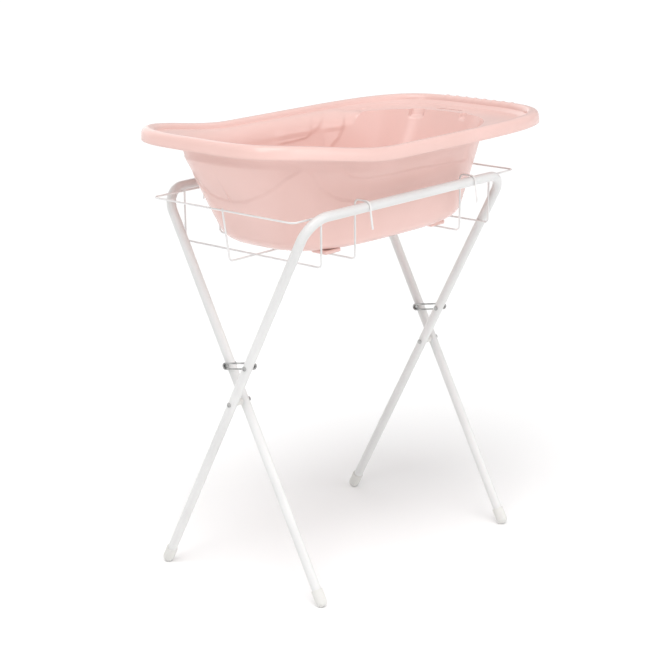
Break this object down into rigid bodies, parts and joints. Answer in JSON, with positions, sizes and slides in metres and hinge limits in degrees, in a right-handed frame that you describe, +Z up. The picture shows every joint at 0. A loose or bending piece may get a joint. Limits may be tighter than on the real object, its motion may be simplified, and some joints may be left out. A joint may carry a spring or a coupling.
{
  "type": "baby bath tub on folding stand",
  "caption": "Moulded baby bath tub in a wire cradle that hooks onto a folding stand of two crossed tube frames.",
  "frame": {"origin": "on the floor, under the middle of the tub", "axes": "+X along the tub towards its foot end, +Y from front to back, +Z up"},
  "size_m": [0.9141, 0.487, 0.956],
  "materials": {
    "white_enamel": "satin white enamel on round steel tube",
    "wire_coating": "satin white coating on steel wire",
    "white_plastic": "off-white moulded plastic",
    "zinc_steel": "zinc-plated steel",
    "pink_plastic": "glossy pale pink moulded plastic"
  },
  "bodies": {
    "back_frame": {"back_frame": "white_enamel", "foot_cap_front_left": "white_plastic", "foot_cap_front_right": "white_plastic", "pivot_spacer_left": "white_plastic", "pivot_spacer_right": "white_plastic", "back_link_pin_left": "zinc_steel", "back_link_pin_right": "zinc_steel"},
    "front_frame": {"front_frame": "white_enamel", "foot_cap_back_left": "white_plastic", "foot_cap_back_right": "white_plastic", "pivot_bolt_left": "zinc_steel", "pivot_bolt_right": "zinc_steel", "pivot_nut_left": "zinc_steel", "pivot_nut_right": "zinc_steel", "front_link_pin_left": "zinc_steel", "front_link_pin_right": "zinc_steel", "link_washer_left": "zinc_steel", "link_washer_right": "zinc_steel"},
    "limit_link_left": {"limit_link_left": "zinc_steel"},
    "limit_link_right": {"limit_link_right": "zinc_steel"},
    "cradle": {"cradle_rim_wire": "wire_coating", "cross_wire_head": "wire_coating", "cross_wire_foot": "wire_coating", "hook_wire_head": "wire_coating", "hook_wire_foot": "wire_coating", "long_wire": "wire_coating"},
    "tub": {"tub": "pink_plastic"}
  },
  "joints": [
    {"name": "cradle_lift", "type": "slide", "parent": "back_frame", "child": "cradle", "axis": [0, 0.1219, 0.9925], "range_m": [0, 1.8]},
    {"name": "tub_lift", "type": "slide", "parent": "cradle", "child": "tub", "axis": [0, 0, 1], "range_m": [0, 0.4]},
    {"name": "stand_fold", "type": "hinge", "parent": "back_frame", "child": "front_frame", "pos_m": [-0.039, 0, 0.4], "axis": [-1, 0, 0], "range_deg": [0, 52.5]},
    {"name": "link_turn_left", "type": "hinge", "parent": "front_frame", "child": "limit_link_left", "pos_m": [-0.3455, -0.04539, 0.48573], "axis": [-1, 0, 0], "range_deg": [0, 37.3]},
    {"name": "link_turn_right", "type": "hinge", "parent": "front_frame", "child": "limit_link_right", "pos_m": [0.2675, -0.04539, 0.48573], "axis": [-1, 0, 0], "range_deg": [0, 37.3]}
  ],
  "couplings": [
    {"joint": "stand_fold", "follows": "cradle_lift", "rad_per_m": 0.50905},
    {"joint": "link_turn_left", "follows": "cradle_lift", "rad_per_m": 0.36167},
    {"joint": "link_turn_right", "follows": "cradle_lift", "rad_per_m": 0.36167}
  ]
}
